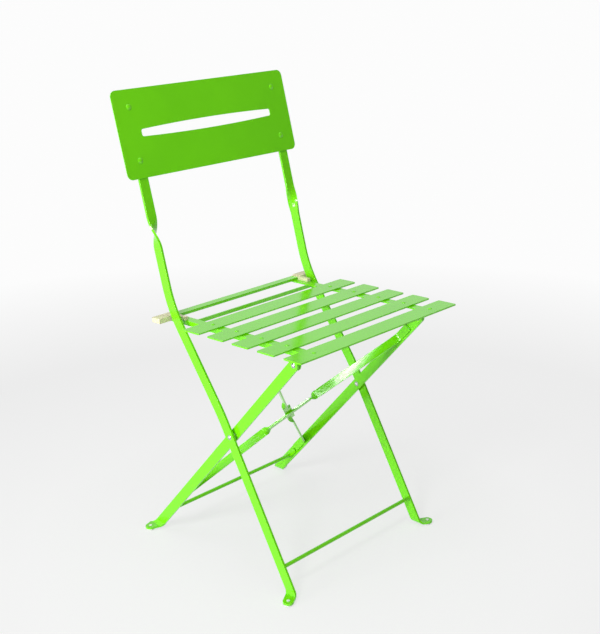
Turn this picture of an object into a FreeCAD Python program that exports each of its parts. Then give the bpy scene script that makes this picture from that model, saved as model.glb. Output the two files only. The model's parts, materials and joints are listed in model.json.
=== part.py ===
import FreeCAD, Part
import math
import os
import re
import Sketcher
from types import SimpleNamespace
from FreeCAD import Placement, Rotation, Vector

# Folding steel chair: a back frame on the front feet, a leg frame on the rear feet that crosses
# inside it, and a slatted seat hung on the leg frame. Millimetres, degrees, +Z up, front towards -Y.

# Driving dimensions: alias, value, meaning.
SIZES = (
    ("pivot_back", -19.426, "crossing pivot, Y from the middle of the footprint"),
    ("pivot_height", 254.5, "crossing pivot above the floor"),
    ("upright_outer", 172.0, "outer face of the uprights from the centre plane"),
    ("crossing_gap", 5.0, "gap between an upright and the rear leg inside it"),
    ("bar_width", 19.0, "flat bar of the legs, width"),
    ("bar_thickness", 4.0, "flat bar of the legs, thickness"),
    ("front_slope", 60.2, "slope of the upright below the crossing"),
    ("middle_slope", 54.6, "slope of the upright between crossing and seat"),
    ("back_slope", 75.2, "slope of the backrest"),
    ("knee_rise", 40.0, "crossing pivot to the knee above it, along the bar"),
    ("knee_radius", 300.0, "bend radius of the knee"),
    ("waist_rise", 206.0, "knee to the waist bend, along the bar"),
    ("waist_radius", 213.0, "bend radius of the waist"),
    ("twist_rise", 104.0, "waist to the start of the quarter twist, along the bar"),
    ("twist_length", 58.0, "length of the quarter twist"),
    ("panel_rise", 227.0, "waist to the lower edge of the panel, along the bar"),
    ("panel_overhang", 31.0, "backrest panel past the outer face of the uprights, each side"),
    ("panel_height", 151.6, "backrest panel height"),
    ("panel_thickness", 1.5, "backrest panel sheet"),
    ("panel_corner", 11.0, "backrest panel corner radius"),
    ("panel_rivet_inset", 30.0, "rivet rows from the panel's lower and upper edges"),
    ("slot_margin", 49.0, "ends of the backrest slot from the sides of the panel"),
    ("slot_end_height", 12.2, "backrest slot height at its ends"),
    ("slot_bow", 3.4, "rise of each long side of the slot at its middle"),
    ("slot_corner", 3.4, "backrest slot corner radius"),
    ("upright_top_inset", 9.0, "top of the uprights below the panel's upper edge"),
    ("foot_bend_radius", 8.0, "mid-plane radius of the foot bend"),
    ("foot_plug_height", 4.0, "underside of the foot tabs above the floor"),
    ("front_tab_reach", 12.0, "foot bend to the hole of the front tab, across the chair"),
    ("rear_tab_reach", 10.0, "foot bend to the hole of the rear tab, across the chair"),
    ("rear_tab_slant", 0.0, "rearward run of the rear tab for each millimetre outward"),
    ("plug_diameter", 15.0, "foot plug under the tab"),
    ("plug_stem", 6.0, "foot plug stem in the tab hole"),
    ("plug_bevel", 1.2, "bevel round the underside of a foot plug"),
    ("plug_button", 0.8, "foot plug stem above the tab"),
    ("rod_diameter", 7.0, "stretcher rods"),
    ("rod_tenon", 4.0, "riveted tenon of a stretcher rod"),
    ("front_rod_height", 52.0, "front stretcher above the floor"),
    ("front_rod_offset", 5.5, "front stretcher ahead of the bar's middle line"),
    ("rod_paddle_width", 11.0, "flattened end of the rear stretcher, width"),
    ("rear_rod_drop", 273.0, "crossing pivot to the rear stretcher, along the rear leg"),
    ("rod_paddle_length", 18.0, "flattened end of the rear stretcher, along the leg"),
    ("rod_paddle_thickness", 3.0, "flattened end of the rear stretcher, thickness"),
    ("rear_slope", 48.66, "slope of the rear legs"),
    ("seat_pivot_rise", 220.3, "crossing pivot to seat pivot, along the rear leg"),
    ("brace_top_gap", 64.3, "upper brace bend to the seat pivot, along the leg"),
    ("brace_foot", 213.0, "crossing pivot down to the lower brace bend, along the leg"),
    ("brace_width", 15.0, "brace bar width"),
    ("brace_thickness", 3.0, "brace bar thickness"),
    ("brace_bend_radius", 8.0, "bend radius at the end of a brace"),
    ("brace_tab", 32.0, "end of a brace that lies along the leg"),
    ("brace_tab_back", 2.0, "brace ends behind the middle line of the leg"),
    ("brace_bow", 8.0, "crossing of the braces behind the middle line of the legs"),
    ("brace_shoulder", 18.0, "bend to the start of the run that rises to the crossing"),
    ("brace_flat", 44.0, "crossing to the start of a brace's quarter twist"),
    ("brace_twist", 16.0, "length of a brace's quarter twist"),
    ("seat_tilt", 1.5, "fall of the seat towards the rear"),
    ("seat_rise", 25.1, "seat pivot to the top of the slats, square to the seat"),
    ("slat_count", 5.0, "number of slats"),
    ("slat_overhang", 26.7, "slats past the outer face of the uprights, each side"),
    ("slat_width", 38.0, "slat width"),
    ("slat_pitch", 58.7, "slat pitch"),
    ("slat_thickness", 2.5, "slat thickness"),
    ("slat_corner", 2.0, "slat corner radius"),
    ("slat_setback", 68.0, "rearmost slat ahead of the rear crossbar"),
    ("rail_gap", 2.0, "gap between a seat rail and the rear leg outside it"),
    ("rail_thickness", 2.5, "seat rail sheet"),
    ("rail_flange", 17.0, "seat rail flange width"),
    ("rail_height", 8.5, "seat rail web height"),
    ("rail_front", 20.0, "seat pivot to the front end of the rail's web"),
    ("flange_inset", 7.8, "front end of the rail's flange behind the front edge of the slats"),
    ("ear_width", 20.0, "pivot ear of the rail"),
    ("crossbar_setback", 23.922, "rear crossbar behind the uprights at the height of the seat pivot"),
    ("crossbar_width", 16.0, "rear crossbar width"),
    ("crossbar_thickness", 5.0, "rear crossbar thickness"),
    ("tie_bar_setback", 35.0, "tie bar ahead of the rear crossbar"),
    ("tie_bar_thickness", 3.0, "tie bar thickness"),
    ("tie_bar_height", 6.5, "tie bar height"),
    ("glide_reach", 24.0, "glide past the outer face of the upright"),
    ("glide_wall", 2.0, "glide wall around the crossbar"),
    ("glide_cheek_length", 26.0, "glide cheek ahead of the crossbar"),
    ("glide_cheek_width", 8.0, "glide cheek width"),
    ("glide_cheek_rise", 1.0, "glide cheek above the crossbar"),
    ("glide_overhang", 2.0, "glide cheek past the outer face of the rail"),
    ("glide_corner", 1.2, "rounding of the glide's outer corners"),
    ("pivot_rivet", 6.0, "pivot rivet shank"),
    ("pivot_head", 9.0, "pivot rivet head diameter"),
    ("pivot_head_height", 2.2, "pivot rivet head height"),
    ("pin_fit", 0.05, "radial clearance of a turning pivot"),
    ("side_play", 0.4, "gap beside a turning bar"),
    ("washer_diameter", 14.0, "spacer washers"),
    ("panel_head", 11.0, "head diameter of the backrest rivets"),
    ("panel_head_height", 2.0, "head height of the backrest rivets"),
    ("small_rivet", 4.0, "shank of the fixed rivets"),
    ("small_head", 8.0, "head diameter of the slat rivets"),
    ("small_head_height", 1.6, "head height of the slat rivets"),
    ("rivet_seat", 0.05, "radial gap of a fixed rivet in its hole"),
)
SIDES = (("left", -1), ("right", 1))

doc = FreeCAD.newDocument("folding_chair")
sheet = doc.addObject("Spreadsheet::Sheet", "Dims")
for row, (alias, value, meaning) in enumerate(SIZES, start=1):
    sheet.set(f"A{row}", meaning)
    sheet.set(f"B{row}", str(value))
    sheet.setAlias(f"B{row}", alias)
doc.recompute()

ALIASES = {alias for alias, value, meaning in SIZES}
d = SimpleNamespace(**{alias: float(sheet.get(alias)) for alias in ALIASES})
NODES = []
TOLERANCE = 0.01


# ---------------------------------------------------------------- helpers: document objects

def bind(obj, target, formula):
    """Bind a property to a formula written in the sheet's aliases."""
    def cell(match):
        word = match.group()
        return f"Dims.{word}" if word in ALIASES else word
    obj.setExpression(target, re.sub(r"[a-z_]+", cell, formula))


def node(obj, label, placement=None):
    """Give a sub-part its label and its place."""
    obj.Label = label
    if placement is not None:
        obj.Placement = placement
    NODES.append(obj)
    return obj


def solid_node(label, shape, placement=None):
    """A sub-part whose bent or twisted shape is made with Part's own functions."""
    feature = doc.addObject("Part::Feature", label)
    feature.Shape = shape
    return node(feature, label, placement or Placement())


def new_body(label, placement=None):
    body = doc.addObject("PartDesign::Body", label)
    body.AllowCompound = True
    return node(body, label, placement)


def new_sketch(body, plane, name):
    """A sketch on one of the body's own origin planes: XY_Plane, XZ_Plane or YZ_Plane."""
    sketch = body.newObject("Sketcher::SketchObject", name)
    base = next(item for item in body.Origin.OriginFeatures if item.Role == plane)
    sketch.AttachmentSupport = [(base, "")]
    sketch.MapMode = "FlatFace"
    return sketch


def dimension(sketch, name, kind, refs, formula, near=1.0):
    """A driving constraint bound to a formula; a formula of "0" puts the point on the axis."""
    if formula == "0":
        axis = -2 if kind == "DistanceX" else -1
        sketch.addConstraint(Sketcher.Constraint("PointOnObject", refs[-2], refs[-1], axis))
        return
    index = sketch.addConstraint(Sketcher.Constraint(kind, *refs, near))
    sketch.renameConstraint(index, name)
    bind(sketch, f"Constraints.{name}", formula)


def polygon(sketch, points):
    """A closed outline whose corners are pairs of formulas."""
    count = len(points)
    corners = []
    for step in range(count):
        turn = 2 * math.pi * step / count
        corners.append(Vector(20 * math.cos(turn), 20 * math.sin(turn), 0))
    for step in range(count):
        sketch.addGeometry(Part.LineSegment(corners[step], corners[(step + 1) % count]))
    for step in range(count):
        sketch.addConstraint(Sketcher.Constraint("Coincident", step, 2, (step + 1) % count, 1))
    for step, (across, up) in enumerate(points):
        dimension(sketch, f"across_{step}", "DistanceX", (-1, 1, step, 1), across)
        dimension(sketch, f"up_{step}", "DistanceY", (-1, 1, step, 1), up)


def rectangle(sketch, left, bottom, width, height):
    """An upright rectangle: two lines are level and two are plumb."""
    corners = (Vector(0, 0, 0), Vector(30, 0, 0), Vector(30, 20, 0), Vector(0, 20, 0))
    for step in range(4):
        sketch.addGeometry(Part.LineSegment(corners[step], corners[(step + 1) % 4]))
    for step in range(4):
        sketch.addConstraint(Sketcher.Constraint("Coincident", step, 2, (step + 1) % 4, 1))
        sketch.addConstraint(Sketcher.Constraint(("Horizontal", "Vertical")[step % 2], step))
    dimension(sketch, "left", "DistanceX", (-1, 1, 0, 1), left)
    dimension(sketch, "bottom", "DistanceY", (-1, 1, 0, 1), bottom)
    dimension(sketch, "width", "DistanceX", (0, 1, 0, 2), width)
    dimension(sketch, "height", "DistanceY", (1, 1, 1, 2), height)


def circles(sketch, centres, diameter):
    """Equal circles whose centres are pairs of formulas."""
    for step, (across, up) in enumerate(centres):
        sketch.addGeometry(Part.Circle(Vector(10 * step, 5, 0), Vector(0, 0, 1), 2))
        dimension(sketch, f"across_{step}", "DistanceX", (-1, 1, step, 3), across)
        dimension(sketch, f"up_{step}", "DistanceY", (-1, 1, step, 3), up)
        dimension(sketch, f"diameter_{step}", "Diameter", (step,), diameter)


def pad(body, sketch, length):
    feature = body.newObject("PartDesign::Pad", f"{sketch.Name}_pad")
    feature.Profile = sketch
    bind(feature, "Length", length)
    return feature


def pocket(body, sketch, length):
    """Cut forward of the sketch, along its normal."""
    feature = body.newObject("PartDesign::Pocket", f"{sketch.Name}_pocket")
    feature.Profile = sketch
    feature.Reversed = True
    bind(feature, "Length", length)
    return feature


def round_edges(body, base, chosen, radius):
    """Fillet the edges of the base feature that the chosen test accepts."""
    doc.recompute()
    edges = base.Shape.Edges
    names = [f"Edge{number}" for number, edge in enumerate(edges, start=1) if chosen(edge)]
    feature = body.newObject("PartDesign::Fillet", f"{body.Name}_rounding_{len(body.Group)}")
    feature.Base = (base, names)
    bind(feature, "Radius", radius)
    return feature


def plumb(edge):
    """True for a straight edge along the body's own Z."""
    run = edge.lastVertex().Point - edge.firstVertex().Point
    return abs(run.z) > TOLERANCE and math.hypot(run.x, run.y) < TOLERANCE


def beyond(distance, test=lambda edge: True):
    """The test, for edges whose middle is at least this far from the centre plane."""
    return lambda edge: test(edge) and abs(edge.CenterOfMass.x) > distance - TOLERANCE


def plate(label, placement, outline, thickness, height="0"):
    """A body padded from one sketch at the given height; the outline is a rectangle's formulas."""
    body = new_body(label, placement)
    sketch = new_sketch(body, "XY_Plane", f"{label}_outline")
    rectangle(sketch, *outline)
    if height != "0":
        bind(sketch, "AttachmentOffset.Base.z", height)
    pad(body, sketch, thickness)
    return body


def holes(body, label, centres, diameter, depth, height="0"):
    sketch = new_sketch(body, "XY_Plane", f"{label}_holes")
    circles(sketch, centres, diameter)
    if height != "0":
        bind(sketch, "AttachmentOffset.Base.z", height)
    return pocket(body, sketch, depth)


def rivets(label, placement, grip, shank, head, rise, start=None, grid=None):
    """Domed rivets along the body's Z: one, or a grid from the start point, seated at Z = 0 and Z = grip."""
    body = new_body(label, placement)
    sketch = new_sketch(body, "XZ_Plane", f"{label}_profile")
    radius, dome, length = 4.0, 1.6, 5.0
    sphere = (radius ** 2 + dome ** 2) / (2 * dome)
    lean = math.atan2(sphere - dome, radius)
    upper = Part.Circle(Vector(0, length + dome - sphere, 0), Vector(0, 0, 1), sphere)
    lower = Part.Circle(Vector(0, sphere - dome, 0), Vector(0, 0, 1), sphere)
    corners = [Vector(radius, length, 0), Vector(radius / 2, length, 0), Vector(radius / 2, 0, 0),
               Vector(radius, 0, 0)]
    sketch.addGeometry(Part.ArcOfCircle(upper, lean, math.pi / 2))
    for first, last in zip(corners, corners[1:]):
        sketch.addGeometry(Part.LineSegment(first, last))
    sketch.addGeometry(Part.ArcOfCircle(lower, -math.pi / 2, -lean))
    sketch.addGeometry(Part.LineSegment(Vector(0, -dome, 0), Vector(0, length + dome, 0)))
    joins = ((0, 1, 1, 1), (1, 2, 2, 1), (2, 2, 3, 1), (3, 2, 4, 2), (4, 1, 5, 1), (5, 2, 0, 2))
    for join in joins:
        sketch.addConstraint(Sketcher.Constraint("Coincident", *join))
    for arc in (0, 4):
        sketch.addConstraint(Sketcher.Constraint("PointOnObject", arc, 3, -2))
    for point in ((0, 2), (4, 1)):
        sketch.addConstraint(Sketcher.Constraint("PointOnObject", *point, -2))
    sketch.addConstraint(Sketcher.Constraint("Vertical", 2))
    sketch.addConstraint(Sketcher.Constraint("Horizontal", 1))
    sketch.addConstraint(Sketcher.Constraint("PointOnObject", 2, 2, -1))
    sketch.addConstraint(Sketcher.Constraint("PointOnObject", 4, 2, -1))
    dimension(sketch, "head", "DistanceX", (-1, 1, 0, 1), f"{head} / 2")
    dimension(sketch, "tail", "DistanceX", (-1, 1, 4, 2), f"{head} / 2")
    dimension(sketch, "shank", "DistanceX", (-1, 1, 2, 1), f"{shank} / 2")
    dimension(sketch, "grip", "DistanceY", (2, 2, 2, 1), grip)
    dimension(sketch, "rise", "DistanceY", (0, 1, 0, 2), rise)
    dimension(sketch, "fall", "DistanceY", (4, 1, 4, 2), rise)
    turned = body.newObject("PartDesign::Revolution", f"{label}_turned")
    turned.Profile = sketch
    turned.ReferenceAxis = (sketch, ["V_Axis"])
    turned.Angle = 360
    if grid:
        bind(sketch, "AttachmentOffset.Base.x", start[0])
        bind(sketch, "AttachmentOffset.Base.z", f"-({start[1]})")
        rows = body.newObject("PartDesign::MultiTransform", f"{label}_grid")
        rows.Originals = [turned]
        rows.Transformations = [row_of(body, axis, count, reach) for axis, count, reach in grid]
        body.Tip = rows
    return body


def row_of(body, axis, count, reach):
    """Equal steps along one of the body's own axes, over the given reach."""
    pattern = doc.addObject("PartDesign::LinearPattern", f"{body.Name}_{axis}")
    line = next(item for item in body.Origin.OriginFeatures if item.Role == axis)
    pattern.Direction = (line, [""])
    bind(pattern, "Length", reach)
    bind(pattern, "Occurrences", count)
    return pattern


def cylinder(name, radius, height):
    feature = doc.addObject("Part::Cylinder", name)
    bind(feature, "Radius", radius)
    bind(feature, "Height", height)
    return feature


# ---------------------------------------------------------------- helpers: the chair's lines

# Formulas for distances from the centre plane.
INNER_UPRIGHT = "(upright_outer - bar_thickness)"
OUTER_LEG = "(upright_outer - bar_thickness - crossing_gap)"
INNER_LEG = "(upright_outer - 2 * bar_thickness - crossing_gap)"
OUTER_RAIL = f"({INNER_LEG} - rail_gap)"
SLAT_END = "(upright_outer + slat_overhang)"
GLIDE_END = "(upright_outer + glide_reach)"
PANEL_SIDE = "(upright_outer + panel_overhang)"
SLOT_END = f"({PANEL_SIDE} - slot_margin)"

def sloped(angle):
    """Unit vector in the side plane at an angle above the rearward direction."""
    return Vector(0, math.cos(math.radians(angle)), math.sin(math.radians(angle)))


def across(side, distance):
    return Vector(side * distance, 0, 0)


X_AXIS = Vector(1, 0, 0)
HALF_BAR = d.bar_width / 2
LEG_OUTER = d.upright_outer - d.bar_thickness - d.crossing_gap
LEG_INNER = LEG_OUTER - d.bar_thickness
RAIL_OUTER = LEG_INNER - d.rail_gap
BRACE_TOP = d.seat_pivot_rise - d.brace_top_gap
CROSSING = Vector(0, d.pivot_back, d.pivot_height)
KNEE = CROSSING + sloped(d.front_slope) * d.knee_rise
WAIST = KNEE + sloped(d.middle_slope) * d.waist_rise
BACK = sloped(d.back_slope)
LEG = sloped(180 - d.rear_slope)
SEAT_PIVOT = CROSSING + LEG * d.seat_pivot_rise
SEAT = Placement(SEAT_PIVOT, Rotation(X_AXIS, -d.seat_tilt))
PANEL_MIDDLE = WAIST + BACK * (d.panel_rise + d.panel_height / 2)
BACK_NORMAL = Vector(0, BACK.z, -BACK.y)
PANEL = Placement(PANEL_MIDDLE - BACK_NORMAL * (d.bar_thickness / 2), Rotation(X_AXIS, d.back_slope))
BRACES = Placement(CROSSING + LEG * ((BRACE_TOP - d.brace_foot) / 2),
                   Rotation(X_AXIS, 180 - d.rear_slope))


def outward(side, distance, point):
    """Place of a piece turned about an X axis through the point: its own Z runs outward."""
    return Placement(across(side, distance) + point, Rotation(Vector(0, 1, 0), side * 90))


def side_edges(points, radii, shift, normal):
    """One long side of a strip: straight runs and arcs, parallel to the middle line."""
    runs = [(last - first).normalize() for first, last in zip(points, points[1:])]
    sides = [run.cross(normal) for run in runs]
    corners = [points[0] + sides[0] * shift]
    for step in range(1, len(runs)):
        bisector = (sides[step - 1] + sides[step]).normalize()
        corners.append(points[step] + bisector * (shift / bisector.dot(sides[step])))
    corners.append(points[-1] + sides[-1] * shift)
    edges = []
    start = corners[0]
    for step in range(1, len(runs)):
        before, after = runs[step - 1], runs[step]
        inside = (after - before * after.dot(before)).normalize()
        radius = radii[step - 1] - shift * (1 if inside.dot(sides[step - 1]) > 0 else -1)
        reach = radius * math.tan(before.getAngle(after) / 2)
        first = corners[step] - before * reach
        last = corners[step] + after * reach
        centre = first + inside * radius
        middle = centre + (corners[step] - centre).normalize() * radius
        edges.append(Part.makeLine(start, first))
        edges.append(Part.Arc(first, middle, last).toShape())
        start = last
    edges.append(Part.makeLine(start, corners[-1]))
    return edges, corners[0], corners[-1]


def strip(points, radii, width, normal, thickness):
    """A flat strip bent in its own plane, thick along the normal from the plane of its points."""
    one, one_start, one_end = side_edges(points, radii, width / 2, normal)
    other, other_start, other_end = side_edges(points, radii, -width / 2, normal)
    edges = one + [Part.makeLine(one_end, other_end)] + other + [Part.makeLine(other_start, one_start)]
    wire = Part.Wire(Part.__sortEdges__(edges))
    return Part.Face(wire).extrude(normal * thickness)


def section(centre, broad, thin, width, thickness):
    """Rectangle about a centre, with its width and thickness along two unit vectors."""
    corners = []
    for one, other in ((-1, -1), (1, -1), (1, 1), (-1, 1)):
        corners.append(centre + broad * (one * width / 2) + thin * (other * thickness / 2))
    return Part.makePolygon(corners + corners[:1])


def twisted(start, run, length, broad, thin, width, thickness, sections=12):
    """A quarter twist that starts and ends gently: the width turns towards the thin direction."""
    wires = []
    for step in range(sections + 1):
        part = step / sections
        turn = math.pi / 2 * part ** 2 * (3 - 2 * part)
        wide = broad * math.cos(turn) - thin * math.sin(turn)
        slim = thin * math.cos(turn) + broad * math.sin(turn)
        wires.append(section(start + run * (length * part), wide, slim, width, thickness))
    return Part.makeLoft(wires, True, False)


def foot(middle, slope, toward, reach, slant, sections=6):
    """Foot of a right-hand bar: bent outward about a fore-and-aft line into a tab with a plug hole."""
    radius = d.foot_bend_radius
    bend_x = middle + radius
    bend_z = d.foot_plug_height + d.bar_thickness / 2 + radius
    lean = math.tan(math.radians(slope))
    half_run = HALF_BAR / math.sin(math.radians(slope))
    start_y = d.pivot_back + toward * (d.pivot_height - bend_z) / lean
    wires = []
    for step in range(sections + 1):
        turn = math.pi / 2 * step / sections
        centre = Vector(0, start_y + toward * radius * turn / lean, 0)
        spoke = Vector(-math.cos(turn), 0, -math.sin(turn))
        centre += Vector(bend_x, 0, bend_z) + spoke * radius
        wires.append(section(centre, Vector(0, 1, 0), spoke, 2 * half_run, d.bar_thickness))
    bend = Part.makeLoft(wires, True, False)
    end_y = start_y + toward * radius * math.pi / 2 / lean
    run = Vector(1, toward * slant, 0)
    low = Vector(bend_x, end_y, d.foot_plug_height)
    hole = low + run * reach
    run.normalize()
    square = Vector(-run.y, run.x, 0)
    near, far = low - Vector(0, half_run, 0), low + Vector(0, half_run, 0)
    left, right = hole + square * HALF_BAR, hole - square * HALF_BAR
    outline = [Part.makeLine(near, far), Part.makeLine(far, left),
               Part.Arc(left, hole + run * HALF_BAR, right).toShape(), Part.makeLine(right, near)]
    tab = Part.Face(Part.Wire(outline)).extrude(Vector(0, 0, d.bar_thickness))
    bore = Part.makeCylinder(d.plug_stem / 2 + d.rivet_seat, d.bar_thickness, hole)
    return bend.fuse(tab).cut(bore), hole, bend_z


def bore_across(shape, point, diameter):
    """Drill through a shape along X at a point of the side plane."""
    drill = Part.makeCylinder(diameter / 2, 2 * d.upright_outer, point - across(1, d.upright_outer), X_AXIS)
    return shape.cut(drill)


def above(shape, height):
    """What lies above a level cut."""
    box = shape.BoundBox
    below = Part.makeBox(box.XLength + 2, box.YLength + 2, height - box.ZMin + 1,
                         Vector(box.XMin - 1, box.YMin - 1, box.ZMin - 1))
    return shape.cut(below)


def handed(shape, side):
    return shape if side > 0 else shape.mirror(Vector(), X_AXIS)


# ---------------------------------------------------------------- back frame

def right_upright():
    """Upright with its foot, knee, waist and quarter twist; returns the shape and its plug hole."""
    inner = d.upright_outer - d.bar_thickness
    middle = d.upright_outer - d.bar_thickness / 2
    slant = 1 / math.tan(math.radians(d.front_slope))
    tread, hole, bend_z = foot(middle, d.front_slope, -1, d.front_tab_reach, slant)
    low = CROSSING - sloped(d.front_slope) * (d.pivot_height / math.sin(math.radians(d.front_slope)))
    twist_start = WAIST + BACK * d.twist_rise
    points = [point + across(1, inner) for point in (low, KNEE, WAIST, twist_start)]
    bar = strip(points, (d.knee_radius, d.waist_radius), d.bar_width, X_AXIS, d.bar_thickness)
    centre = across(1, middle) + twist_start
    twist = twisted(centre, BACK, d.twist_length, BACK_NORMAL, X_AXIS, d.bar_width, d.bar_thickness)
    flat_start = centre + BACK * d.twist_length
    flat_length = d.panel_rise + d.panel_height - d.upright_top_inset - d.twist_rise - d.twist_length
    flat = Part.Face(section(flat_start, X_AXIS, BACK_NORMAL, d.bar_width, d.bar_thickness))
    upper = flat.extrude(BACK * flat_length)
    shape = above(bar, bend_z).multiFuse([tread, twist, upper]).removeSplitter()
    shape = bore_across(shape, CROSSING, d.pivot_rivet + 2 * d.rivet_seat)
    shape = bore_across(shape, FRONT_ROD, d.rod_tenon + 2 * d.rivet_seat)
    for edge in (-1, 1):
        rivet = PANEL_MIDDLE + BACK * (edge * (d.panel_height / 2 - d.panel_rivet_inset))
        start = across(1, middle) + rivet - BACK_NORMAL * d.bar_thickness
        drill = Part.makeCylinder(d.small_rivet / 2 + d.rivet_seat, 2 * d.bar_thickness, start, BACK_NORMAL)
        shape = shape.cut(drill)
    return shape, hole


def backrest_panel():
    """Thin sheet with round corners, a slot with bowed sides and four rivet holes."""
    outline = (f"-{PANEL_SIDE}", "-panel_height / 2", f"2 * {PANEL_SIDE}", "panel_height")
    body = plate("backrest_panel", PANEL, outline, "panel_thickness")
    sketch = new_sketch(body, "XY_Plane", "slot_outline")
    side = d.upright_outer + d.panel_overhang
    half, end = side - d.slot_margin, d.slot_end_height / 2

    def on_slot_end(edge):
        return abs(abs(edge.CenterOfMass.x) - half) < TOLERANCE

    for turn in (1, -1):
        start, last = Vector(half * turn, end * turn, 0), Vector(-half * turn, end * turn, 0)
        crown = Vector(0, (end + d.slot_bow) * turn, 0)
        sketch.addGeometry(Part.Arc(start, crown, last))
        sketch.addGeometry(Part.LineSegment(last, Vector(-half * turn, -end * turn, 0)))
    for step in range(4):
        sketch.addConstraint(Sketcher.Constraint("Coincident", step, 2, (step + 1) % 4, 1))
    bow = f"({SLOT_END} ^ 2 + slot_bow ^ 2) / (2 * slot_bow)"
    bow_radius = (half ** 2 + d.slot_bow ** 2) / (2 * d.slot_bow)
    for arc, line in ((0, 1), (2, 3)):
        sketch.addConstraint(Sketcher.Constraint("PointOnObject", arc, 3, -2))
        sketch.addConstraint(Sketcher.Constraint("Vertical", line))
        dimension(sketch, f"bow_{arc}", "Radius", (arc,), bow, bow_radius)
    sketch.addConstraint(Sketcher.Constraint("Horizontal", 0, 1, 0, 2))
    dimension(sketch, "half", "DistanceX", (-1, 1, 3, 1), SLOT_END, half)
    dimension(sketch, "rise", "DistanceY", (-1, 1, 3, 2), "slot_end_height / 2", end)
    dimension(sketch, "height", "DistanceY", (3, 1, 3, 2), "slot_end_height", 2 * end)
    pocket(body, sketch, "panel_thickness")
    aside = "(upright_outer - bar_thickness / 2)"
    upper = "(panel_height / 2 - panel_rivet_inset)"
    centres = [(f"{one}{aside}", f"{other}{upper}") for one in ("-", "") for other in ("-", "")]
    drilled = holes(body, "panel", centres, "small_rivet + 2 * rivet_seat", "panel_thickness")
    rounded = round_edges(body, drilled, beyond(side, plumb), "panel_corner")
    round_edges(body, rounded, lambda edge: plumb(edge) and on_slot_end(edge), "slot_corner")


def front_stretcher():
    """Round rod between the uprights' inner faces, with a tenon through the bars to their outer faces."""
    fused = doc.addObject("Part::Fuse", "front_stretcher")
    fused.Base = cylinder("front_stretcher_rod", "rod_diameter / 2", f"2 * {INNER_UPRIGHT}")
    fused.Tool = cylinder("front_stretcher_tenon", "rod_tenon / 2", "2 * upright_outer")
    bind(fused.Tool, "Placement.Base.z", "-bar_thickness")
    node(fused, "front_stretcher", outward(1, d.bar_thickness - d.upright_outer, FRONT_ROD))


def washer(label, placement, thickness):
    ring = doc.addObject("Part::Cut", label)
    ring.Base = cylinder(f"{label}_disc", "washer_diameter / 2", thickness)
    ring.Tool = cylinder(f"{label}_bore", "pivot_rivet / 2 + rivet_seat", thickness)
    return node(ring, label, placement)


def foot_plug(label, hole, side):
    """Plastic glide under a foot tab, with a stem through its hole."""
    place = Vector(side * hole.x, hole.y, 0)
    body = new_body(label, Placement(place, Rotation()))
    sketch = new_sketch(body, "XZ_Plane", f"{label}_profile")
    rim, stem = "plug_diameter / 2", "plug_stem / 2"
    top = "foot_plug_height + bar_thickness + plug_button"
    polygon(sketch, (("0", "0"), (f"{rim} - plug_bevel", "0"), (rim, "plug_bevel"), (rim, "foot_plug_height"),
                     (stem, "foot_plug_height"), (stem, top), ("0", top)))
    turned = body.newObject("PartDesign::Revolution", f"{label}_turned")
    turned.Profile = sketch
    turned.ReferenceAxis = (sketch, ["V_Axis"])
    turned.Angle = 360


front_run = (d.pivot_height - d.front_rod_height) / math.tan(math.radians(d.front_slope))
front_shift = d.front_rod_offset / math.sin(math.radians(d.front_slope))
FRONT_ROD = Vector(0, d.pivot_back - front_run - front_shift, d.front_rod_height)

upright_shape, front_hole = right_upright()
for name, side in SIDES:
    solid_node(f"{name}_upright", handed(upright_shape, side))
    foot_plug(f"{name}_front_foot_plug", front_hole, side)
    tail = LEG_INNER - d.side_play
    rivets(f"{name}_crossing_rivet", outward(side, tail, CROSSING),
           f"upright_outer - {INNER_LEG} + side_play", "pivot_rivet", "pivot_head", "pivot_head_height")
    washer(f"{name}_crossing_washer", outward(side, LEG_OUTER + d.side_play, CROSSING),
           "crossing_gap - side_play")
backrest_panel()
rivets("backrest_rivets", PANEL * Placement(Vector(0, 0, -d.bar_thickness), Rotation()),
       "panel_thickness + bar_thickness", "small_rivet", "panel_head", "panel_head_height",
       ("bar_thickness / 2 - upright_outer", "panel_rivet_inset - panel_height / 2"),
       (("X_Axis", "2", "2 * upright_outer - bar_thickness"),
        ("Y_Axis", "2", "panel_height - 2 * panel_rivet_inset")))
front_stretcher()


# ---------------------------------------------------------------- leg frame

def right_rear_leg():
    """Straight bar from the seat pivot to its foot; returns the shape and its plug hole."""
    middle = LEG_OUTER - d.bar_thickness / 2
    tread, hole, bend_z = foot(middle, d.rear_slope, 1, d.rear_tab_reach, d.rear_tab_slant)
    low = CROSSING - LEG * (d.pivot_height / math.sin(math.radians(d.rear_slope)))
    points = [point + across(1, LEG_INNER) for point in (low, SEAT_PIVOT)]
    bar = above(strip(points, (), d.bar_width, X_AXIS, d.bar_thickness), bend_z)
    nose = Part.makeCylinder(HALF_BAR, d.bar_thickness, points[1], X_AXIS)
    shape = bar.multiFuse([tread, nose]).removeSplitter()
    shape = bore_across(shape, CROSSING, d.pivot_rivet + 2 * d.pin_fit)
    shape = bore_across(shape, SEAT_PIVOT, d.pivot_rivet + 2 * d.rivet_seat)
    return bore_across(shape, REAR_ROD, d.rod_tenon + 2 * d.rivet_seat), hole


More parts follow.
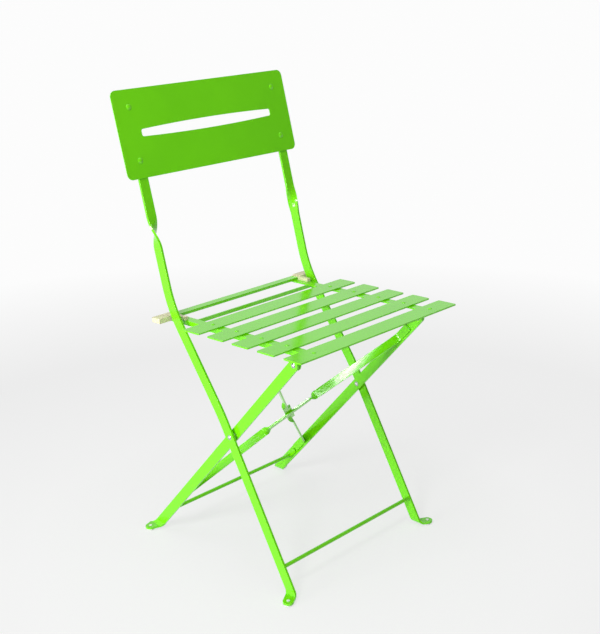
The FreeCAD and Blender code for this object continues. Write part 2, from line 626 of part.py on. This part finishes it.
def brace(face):
    """Brace from low left to high right, bowed behind the legs; face is 1 for the lower, -1 for the upper."""
    half_rise = (BRACE_TOP + d.brace_foot) / 2
    bend = Vector(LEG_INNER - d.brace_thickness / 2, half_rise, 0)
    run = Vector(bend.x, bend.y, 0).normalize()
    square = Vector(run.y, -run.x, 0)
    up = Vector(0, 0, 1)
    lift = up * (face * d.brace_thickness / 2 - d.brace_bow)
    start = run * d.brace_flat + lift
    end = start + run * d.brace_twist
    bend -= up * d.brace_tab_back
    shoulder = bend - run * d.brace_shoulder
    flat = Part.Face(section(lift, square, up, d.brace_width, d.brace_thickness)).extrude(run * d.brace_flat)
    twist = twisted(start, run, d.brace_twist, square, up, d.brace_width, d.brace_thickness)
    edge = Part.Face(section(end, up, square, d.brace_width, d.brace_thickness)).extrude(shoulder - end)
    corners = (shoulder, bend, bend + Vector(0, d.brace_tab, 0))
    points = [corner - up * (d.brace_width / 2) for corner in corners]
    tab = strip(points, (d.brace_bend_radius,), d.brace_thickness, up, d.brace_width)
    half = flat.multiFuse([twist, edge, tab])
    other = half.copy()
    other.rotate(Vector(), up, 180)
    return half.fuse(other).removeSplitter()


def rear_stretcher():
    """Rod between the rear legs whose flattened ends lie along the legs."""
    half = LEG_INNER
    low = REAR_ROD - across(1, half)
    rod = Part.makeCylinder(d.rod_diameter / 2, 2 * half, low, X_AXIS)
    tenon = Part.makeCylinder(d.rod_tenon / 2, 2 * LEG_OUTER, REAR_ROD - across(1, LEG_OUTER), X_AXIS)
    pieces = [tenon]
    for side in (-1, 1):
        inner = min(side * half, side * (half - d.rod_paddle_thickness))
        start = REAR_ROD + across(1, inner)
        points = [start, start + LEG * d.rod_paddle_length]
        pieces.append(strip(points, (), d.rod_paddle_width, X_AXIS, d.rod_paddle_thickness))
        for point in points:
            pieces.append(Part.makeCylinder(d.rod_paddle_width / 2, d.rod_paddle_thickness, point, X_AXIS))
    return rod.multiFuse(pieces).removeSplitter()


REAR_ROD = CROSSING - LEG * d.rear_rod_drop
leg_shape, rear_hole = right_rear_leg()
for name, side in SIDES:
    solid_node(f"{name}_rear_leg", handed(leg_shape, side))
    foot_plug(f"{name}_rear_foot_plug", rear_hole, side)
    tail = RAIL_OUTER - d.rail_thickness - d.side_play
    rivets(f"{name}_seat_pivot_rivet", outward(side, tail, SEAT_PIVOT),
           f"{OUTER_LEG} - {OUTER_RAIL} + rail_thickness + side_play", "pivot_rivet", "pivot_head",
           "pivot_head_height")
    washer(f"{name}_seat_pivot_washer", outward(side, RAIL_OUTER + d.side_play, SEAT_PIVOT),
           "rail_gap - side_play")
solid_node("rear_stretcher", rear_stretcher())
solid_node("lower_brace", brace(1), BRACES)
solid_node("upper_brace", brace(-1).mirror(Vector(), X_AXIS), BRACES)


# ---------------------------------------------------------------- seat

FLANGE_TOP = "(seat_rise - slat_thickness)"
RIVET_LINE = f"({OUTER_RAIL} - rail_flange / 2)"
# Along the seat from its pivot: rear edge of the uprights, crossbar, tie bar, ends of the row of slats.
UPRIGHT_REACH = ("((seat_pivot_rise * sin(middle_slope + rear_slope) "
                 "- knee_rise * sin(front_slope - middle_slope) "
                 "+ bar_width / 2) / sin(middle_slope + seat_tilt))")
CROSSBAR = f"({UPRIGHT_REACH} + crossbar_setback)"
TIE_BAR = f"({CROSSBAR} - tie_bar_setback)"
SLAT_REAR = f"({CROSSBAR} - slat_setback)"
FRONT_EDGE = f"({SLAT_REAR} - slat_width - slat_pitch * (slat_count - 1))"


def slat(number):
    """Flat slat with two rivet holes; number 0 is the rearmost."""
    rear = f"{SLAT_REAR} - slat_pitch * {number}"
    label = f"seat_slat_{number + 1}"
    outline = (f"-{SLAT_END}", f"{rear} - slat_width", f"2 * {SLAT_END}", "slat_width")
    body = plate(label, SEAT, outline, "slat_thickness", FLANGE_TOP)
    centres = [(f"{sign}{RIVET_LINE}", f"{rear} - slat_width / 2") for sign in ("-", "")]
    drilled = holes(body, label, centres, "small_rivet + 2 * rivet_seat", "slat_thickness", FLANGE_TOP)
    round_edges(body, drilled, beyond(d.upright_outer + d.slat_overhang, plumb), "slat_corner")


def side_span(side, inner, outer):
    """Left edge and width, as formulas, of a piece between two distances from the centre plane."""
    return (inner if side > 0 else f"-({outer})"), f"({outer}) - ({inner})"


def seat_rail(name, side):
    """Angle with a flange under all the slats, a shorter web and an ear for the seat pivot."""
    body = new_body(f"{name}_seat_rail", SEAT)
    rear, front = f"({CROSSBAR} + crossbar_width)", f"({FRONT_EDGE} + flange_inset)"
    left, width = side_span(side, f"{OUTER_RAIL} - rail_flange", OUTER_RAIL)
    flange = new_sketch(body, "XY_Plane", f"{name}_flange")
    rectangle(flange, left, front, width, f"{rear} - {front}")
    bind(flange, "AttachmentOffset.Base.z", f"{FLANGE_TOP} - rail_thickness")
    pad(body, flange, "rail_thickness")
    plane = side_span(side, f"{OUTER_RAIL} - rail_thickness", OUTER_RAIL)[0]
    web = new_sketch(body, "YZ_Plane", f"{name}_web")
    rectangle(web, "-rail_front", f"{FLANGE_TOP} - rail_height", f"rail_front + {rear}", "rail_height")
    ear = new_sketch(body, "YZ_Plane", f"{name}_ear")
    rectangle(ear, "-ear_width / 2", "0", "ear_width", FLANGE_TOP)
    eye = new_sketch(body, "YZ_Plane", f"{name}_eye")
    circles(eye, (("0", "0"),), "ear_width")
    bore = new_sketch(body, "YZ_Plane", f"{name}_bore")
    circles(bore, (("0", "0"),), "pivot_rivet + 2 * pin_fit")
    for sketch in (web, ear, eye, bore):
        bind(sketch, "AttachmentOffset.Base.z", plane)
    for sketch in (web, ear, eye):
        pad(body, sketch, "rail_thickness")
    pocket(body, bore, "rail_thickness")
    sign = "" if side > 0 else "-"
    last = f"{SLAT_REAR} - slat_width / 2"
    centres = [(f"{sign}{RIVET_LINE}", f"{last} - slat_pitch * {number}") for number in SLATS]
    holes(body, f"{name}_rail", centres, "small_rivet + 2 * rivet_seat", "rail_thickness",
          f"{FLANGE_TOP} - rail_thickness")


def glide(name, side):
    """Plastic block on an end of the crossbar: a sleeve behind the upright and a cheek inside it."""
    body = new_body(f"{name}_glide", SEAT)
    left, width = side_span(side, OUTER_RAIL, GLIDE_END)
    sleeve = new_sketch(body, "XY_Plane", f"{name}_sleeve")
    rectangle(sleeve, left, f"{CROSSBAR} - glide_wall", width, "crossbar_width + 2 * glide_wall")
    bind(sleeve, "AttachmentOffset.Base.z", f"{FLANGE_TOP} - glide_wall")
    block = pad(body, sleeve, "crossbar_thickness + 2 * glide_wall")
    round_edges(body, block, beyond(d.upright_outer + d.glide_reach), "glide_corner")
    outer = f"{OUTER_RAIL} + glide_overhang"
    left, width = side_span(side, f"{outer} - glide_cheek_width", outer)
    cheek = new_sketch(body, "XY_Plane", f"{name}_cheek")
    length = "glide_cheek_length + crossbar_width"
    rectangle(cheek, left, f"{CROSSBAR} - glide_cheek_length", width, length)
    bind(cheek, "AttachmentOffset.Base.z", FLANGE_TOP)
    pad(body, cheek, "crossbar_thickness + glide_cheek_rise")
    left, width = side_span(side, f"{outer} - glide_cheek_width - 1", f"{GLIDE_END} - 2 * glide_wall")
    passage = new_sketch(body, "XY_Plane", f"{name}_passage")
    rectangle(passage, left, CROSSBAR, width, "crossbar_width")
    bind(passage, "AttachmentOffset.Base.z", FLANGE_TOP)
    pocket(body, passage, "crossbar_thickness")


SLATS = range(int(d.slat_count))
for number in SLATS:
    slat(number)
for name, side in SIDES:
    seat_rail(name, side)
    glide(name, side)
under_flange = Vector(0, 0, d.seat_rise - d.slat_thickness - d.rail_thickness)
rivets("seat_rivets", SEAT * Placement(under_flange, Rotation()),
       "slat_thickness + rail_thickness", "small_rivet", "small_head", "small_head_height",
       (f"-{RIVET_LINE}", f"{FRONT_EDGE} + slat_width / 2"),
       (("X_Axis", "2", f"2 * {RIVET_LINE}"), ("Y_Axis", "slat_count", "slat_pitch * (slat_count - 1)")))
plate("rear_crossbar", SEAT, (f"2 * glide_wall - {GLIDE_END}", CROSSBAR,
                              f"2 * {GLIDE_END} - 4 * glide_wall", "crossbar_width"),
      "crossbar_thickness", FLANGE_TOP)
plate("seat_tie_bar", SEAT, (f"rail_thickness - {OUTER_RAIL}", TIE_BAR,
                             f"2 * {OUTER_RAIL} - 2 * rail_thickness", "tie_bar_thickness"),
      "tie_bar_height", f"{FLANGE_TOP} - rail_thickness - tie_bar_height")


# ---------------------------------------------------------------- checks and files

doc.recompute()
for item in doc.Objects:
    if "Invalid" in item.State or "Error" in item.State:
        raise RuntimeError(f"{item.Name} did not build: {item.State}")
for item in NODES:
    if item.Shape.isNull() or not item.Shape.isValid() or not item.Shape.Solids:
        raise RuntimeError(f"{item.Label} has no sound solid")
os.makedirs("parts", exist_ok=True)
for item in NODES:
    item.Shape.exportStep(f"parts/{item.Label}.step")
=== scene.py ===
import json
import math

import bpy
from mathutils import Matrix, Vector


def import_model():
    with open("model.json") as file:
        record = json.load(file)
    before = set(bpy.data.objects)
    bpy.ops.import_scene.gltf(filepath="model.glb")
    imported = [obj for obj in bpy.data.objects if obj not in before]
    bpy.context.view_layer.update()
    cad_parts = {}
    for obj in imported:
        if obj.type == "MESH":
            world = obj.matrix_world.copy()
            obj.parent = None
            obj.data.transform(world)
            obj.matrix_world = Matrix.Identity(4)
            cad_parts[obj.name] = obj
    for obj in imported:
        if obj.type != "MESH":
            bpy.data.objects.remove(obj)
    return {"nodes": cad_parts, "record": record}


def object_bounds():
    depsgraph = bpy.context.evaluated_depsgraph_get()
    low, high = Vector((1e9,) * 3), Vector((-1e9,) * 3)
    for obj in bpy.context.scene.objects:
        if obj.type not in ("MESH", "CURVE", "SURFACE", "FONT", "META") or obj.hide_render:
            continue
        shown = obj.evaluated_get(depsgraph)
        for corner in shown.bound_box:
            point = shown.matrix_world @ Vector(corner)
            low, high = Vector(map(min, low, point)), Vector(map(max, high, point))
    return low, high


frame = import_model()
cad_low, cad_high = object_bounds()

# Folding steel chair in gloss green powder coat, seen from its front left. Metres, +Z up, front towards -Y.

# Linear colours.
GREEN = (0.17, 0.7, 0.003)
GREEN_PALE = (0.2, 0.76, 0.008)
GREEN_DEEP = (0.14, 0.62, 0.002)
ZINC = (0.62, 0.62, 0.64)
ZINC_DULL = (0.36, 0.36, 0.37)
WHITE = (0.82, 0.82, 0.8)
WHITE_SOILED = (0.6, 0.6, 0.56)
CREAM = (0.72, 0.68, 0.44)
CREAM_SOILED = (0.55, 0.51, 0.3)

PAINT_IOR = 1.5
PLASTIC_IOR = 1.47
BEVEL_SAMPLES = 4
# How strongly the plastic's soil shows away from its worn edges.
SOIL_SHARE = 0.5

# Grey levels: the floor near the chair, the bend behind it, the backdrop, and the dim room in reflections.
FLOOR_TONE = 0.91
BEND_TONE = 0.84
BACKDROP_TONE = 0.975
ROOM_TONE = 0.15
# The blue of the backdrop that the camera sees, against its red and green, and the grey that lights the rest.
BACKDROP_BLUE = 1.01
AMBIENT = 0.29

# The floor is a disc. From its middle outwards its tone turns to the bend's over BEND and to the backdrop's
# over BEYOND, and the share of its look that no lamp changes grows from OWN_LIGHT_NEAR to 1 over OWN_LIGHT.
FLOOR_RADIUS = 40.0
FLOOR_CORNERS = 96
BEND = (0.5, 1.0)
BEYOND = (1.05, 1.9)
OWN_LIGHT = (0.4, 1.0)
OWN_LIGHT_NEAR = 0.75
# A reflection sees the room where the Y of its direction is below the first, the backdrop above the second.
ROOM_END, BACKDROP_START = -0.35, 0.15

# Lamps: name, direction from the chair, distance, side of the square, watts.
LAMPS = (
    ("key", (-0.774, -0.226, 0.591), 3.2, 0.62, 40.0),
    ("side_fill", (-1.0, 0.1, -0.02), 4.6, 2.0, 240.0),
    ("top", (-0.15, -0.1, 1.0), 3.0, 2.0, 36.0),
)

CAMERA_PLACE = Vector((-1.3833, -1.3525, 1.0688))
CAMERA_TARGET = Vector((0.0107, -0.015, 0.4249))
CAMERA_ROLL = math.radians(-0.79)
CAMERA_LENS = 65.3


# ---------------------------------------------------------------- node helpers

class Shader:
    """A node tree with short calls for making and joining its nodes."""

    def __init__(self, owner, output="OutputMaterial"):
        self.owner = owner
        owner.use_nodes = True
        self.tree = owner.node_tree
        self.tree.nodes.clear()
        self.output = self.tree.nodes.new(f"ShaderNode{output}")

    @classmethod
    def of_material(cls, name):
        return cls(bpy.data.materials.new(name))

    @classmethod
    def of_world(cls, name):
        bpy.context.scene.world = bpy.data.worlds.new(name)
        return cls(bpy.context.scene.world, "OutputWorld")

    def node(self, kind, inputs=None, **settings):
        """A new node; an input is a plain value or another node's socket."""
        made = self.tree.nodes.new(f"ShaderNode{kind}")
        for name, value in settings.items():
            setattr(made, name, value)
        for name, value in (inputs or {}).items():
            socket = made.inputs[name]
            if isinstance(value, bpy.types.NodeSocket):
                self.tree.links.new(value, socket)
            else:
                socket.default_value = value
        return made

    def surface(self, socket):
        """Join a shader to the tree's output."""
        self.tree.links.new(socket, self.output.inputs["Surface"])

    def noise(self, scale, detail=2.0):
        """Noise in the chair's own metres."""
        place = self.node("TexCoord").outputs["Object"]
        return self.node("TexNoise", {"Vector": place, "Scale": scale, "Detail": detail}).outputs["Fac"]

    def ramp(self, factor, low, high, start=0.0, end=1.0):
        """The factor between low and high, stretched from start to end and held beyond."""
        inputs = {"Value": factor, "From Min": low, "From Max": high, "To Min": start, "To Max": end}
        return self.node("MapRange", inputs, clamp=True).outputs["Result"]

    def math(self, operation, one, other):
        return self.node("Math", {0: one, 1: other}, operation=operation).outputs["Value"]

    def mix(self, factor, one, other):
        """Mix of two colours, each a triple or a socket."""
        made = self.node("Mix", data_type="RGBA")
        # The node has inputs of one name for each data type; 6 and 7 are its colours.
        sockets = (made.inputs["Factor"], made.inputs[6], made.inputs[7])
        for socket, value in zip(sockets, (factor, one, other)):
            if isinstance(value, bpy.types.NodeSocket):
                self.tree.links.new(value, socket)
            else:
                socket.default_value = (*value, 1.0)
        return made.outputs[2]

    def tint(self, colour, other, amount, share):
        """The colour, turned towards the other by a share of the amount."""
        return self.mix(self.math("MULTIPLY", amount, share), colour, other)

    def grey(self, value):
        return self.node("CombineColor", {"Red": value, "Green": value, "Blue": value}).outputs["Color"]

    def rounded(self, radius):
        """Surface direction with the edges rounded off."""
        return self.node("Bevel", {"Radius": radius}, samples=BEVEL_SAMPLES).outputs["Normal"]

    def edge(self, radius, low, high):
        """0 on flat faces, 1 along sharp edges."""
        plain = self.node("NewGeometry").outputs["Normal"]
        inputs = {0: self.rounded(radius), 1: plain}
        turn = self.node("VectorMath", inputs, operation="DOT_PRODUCT").outputs["Value"]
        return self.ramp(turn, high, low)

    def bump(self, height, distance, normal=None):
        inputs = {"Height": height, "Distance": distance}
        if normal is not None:
            inputs["Normal"] = normal
        return self.node("Bump", inputs).outputs["Normal"]

    def finish(self, **inputs):
        """Principled surface from keyword inputs such as Base_Color."""
        named = {name.replace("_", " "): value for name, value in inputs.items()}
        self.surface(self.node("BsdfPrincipled", named).outputs["BSDF"])
        return self.owner


# ---------------------------------------------------------------- materials

def powder_coat():
    """Gloss lime powder coat: faint orange peel, slow colour drift, and a painted highlight that turns it
    paler along the edges.
    """
    s = Shader.of_material("powder_coat")
    drift = s.ramp(s.noise(scale=9.0, detail=3.0), low=0.35, high=0.65)
    speckle = s.ramp(s.noise(scale=420.0), low=0.3, high=0.7)
    colour = s.tint(GREEN, GREEN_DEEP, drift, share=0.45)
    colour = s.tint(colour, GREEN_PALE, speckle, share=0.12)
    # Painted highlight: the colour turns paler along the sharp edges, as if the edges caught the light.
    colour = s.tint(colour, GREEN_PALE, s.edge(radius=0.0009, low=0.6, high=0.96), share=0.55)
    rough = s.ramp(s.noise(scale=35.0, detail=3.0), low=0.35, high=0.7, start=0.13, end=0.2)
    peel = s.bump(s.noise(scale=190.0), distance=0.000012, normal=s.rounded(0.0006))
    return s.finish(Base_Color=colour, Roughness=rough, Normal=peel, IOR=PAINT_IOR)


def zinc():
    """Bright zinc on the pivot rivets and washers, duller in blotches and round the rim."""
    s = Shader.of_material("zinc_plate")
    blotch = s.ramp(s.noise(scale=600.0, detail=3.0), low=0.4, high=0.65)
    rim = s.edge(radius=0.0004, low=0.7, high=0.97)
    colour = s.mix(s.math("MAXIMUM", blotch, rim), ZINC, ZINC_DULL)
    rough = s.ramp(s.noise(scale=1400.0), low=0.3, high=0.7, start=0.22, end=0.42)
    grain = s.bump(s.noise(scale=1800.0), distance=0.00003)
    return s.finish(Base_Color=colour, Metallic=1.0, Roughness=rough, Normal=grain)


def plastic(name, colour, soiled, grain):
    """Moulded plastic with a fine grain and scuffed, slightly soiled edges."""
    s = Shader.of_material(name)
    soil = s.ramp(s.noise(scale=55.0, detail=4.0), low=0.45, high=0.75)
    worn = s.edge(radius=0.0006, low=0.65, high=0.97)
    scuff = s.math("MAXIMUM", s.math("MULTIPLY", soil, SOIL_SHARE), worn)
    tint = s.tint(colour, soiled, scuff, share=0.6)
    rough = s.ramp(s.noise(scale=160.0, detail=3.0), low=0.3, high=0.7, start=0.38, end=0.55)
    moulded = s.bump(s.noise(grain), distance=0.000012, normal=s.rounded(0.0005))
    return s.finish(Base_Color=tint, Roughness=rough, Normal=moulded, IOR=PLASTIC_IOR)


MATERIALS = {
    "powder_coat": powder_coat(),
    "rivet_steel": zinc(),
    "white_plastic": plastic("white_plastic", WHITE, WHITE_SOILED, grain=900.0),
    "cream_plastic": plastic("cream_plastic", CREAM, CREAM_SOILED, grain=700.0),
}
for entry in frame["record"]["subparts"]:
    piece = frame["nodes"][entry["node"]]
    piece.data.materials.clear()
    piece.data.materials.append(MATERIALS[entry["material_slot"]])


# ---------------------------------------------------------------- floor, backdrop and light

def floor():
    """Pale sweep: lit floor near the chair, a soft grey bend behind it, white far away."""
    s = Shader.of_material("pale_floor")
    place = s.node("TexCoord").outputs["Object"]
    distance = s.node("VectorMath", {0: place}, operation="LENGTH").outputs["Value"]
    tone = s.mix(s.ramp(distance, *BEND), (FLOOR_TONE,) * 3, (BEND_TONE,) * 3)
    tone = s.mix(s.ramp(distance, *BEYOND), tone, (BACKDROP_TONE,) * 3)
    lit = s.node("BsdfDiffuse", {"Color": tone}).outputs["BSDF"]
    own = s.node("Emission", {"Color": tone}).outputs["Emission"]
    path = s.node("LightPath").outputs
    mirrored = s.math("MAXIMUM", path["Is Glossy Ray"], path["Is Transmission Ray"])
    seen = s.math("MAXIMUM", path["Is Camera Ray"], mirrored)
    share = s.math("MULTIPLY", seen, s.ramp(distance, *OWN_LIGHT, start=OWN_LIGHT_NEAR))
    s.surface(s.node("MixShader", {"Fac": share, 1: lit, 2: own}).outputs["Shader"])
    bpy.ops.mesh.primitive_circle_add(vertices=FLOOR_CORNERS, radius=FLOOR_RADIUS, fill_type="NGON")
    disc = bpy.context.object
    disc.name = "floor"
    disc.data.materials.append(s.owner)


def world():
    """Soft ambient light behind a near-white backdrop; reflections see that, with a dim room in front."""
    s = Shader.of_world("studio")
    path = s.node("LightPath").outputs
    way = s.node("SeparateXYZ", {"Vector": s.node("TexCoord").outputs["Generated"]}).outputs["Y"]
    room = s.ramp(way, ROOM_END, BACKDROP_START, ROOM_TONE, BACKDROP_TONE)
    reflected = s.math("MAXIMUM", path["Is Glossy Ray"], path["Is Transmission Ray"])
    level = s.mix(reflected, (AMBIENT,) * 3, s.grey(room))
    backdrop = (BACKDROP_TONE, BACKDROP_TONE, BACKDROP_TONE * BACKDROP_BLUE)
    level = s.mix(path["Is Camera Ray"], level, backdrop)
    s.surface(s.node("Background", {"Color": level}).outputs["Background"])


def softbox(name, direction, distance, size, power):
    """A square lamp that faces the middle of the chair."""
    lamp = bpy.data.lights.new(name, "AREA")
    lamp.shape = "SQUARE"
    lamp.size = size
    lamp.energy = power
    holder = bpy.data.objects.new(name, lamp)
    bpy.context.scene.collection.objects.link(holder)
    away = Vector(direction).normalized()
    holder.location = (cad_low + cad_high) / 2 + away * distance
    holder.rotation_mode = "QUATERNION"
    holder.rotation_quaternion = away.to_track_quat("Z", "Y")


floor()
world()
for lamp in LAMPS:
    softbox(*lamp)


# ---------------------------------------------------------------- camera

camera_data = bpy.data.cameras.new("camera")
camera_data.lens = CAMERA_LENS
camera = bpy.data.objects.new("camera", camera_data)
bpy.context.scene.collection.objects.link(camera)
camera.location = CAMERA_PLACE
aim = (CAMERA_TARGET - CAMERA_PLACE).to_track_quat("-Z", "Y").to_matrix()
camera.rotation_mode = "QUATERNION"
camera.rotation_quaternion = (aim @ Matrix.Rotation(CAMERA_ROLL, 3, "Z")).to_quaternion()
bpy.context.scene.camera = camera
bpy.context.scene.view_settings.view_transform = "Standard"
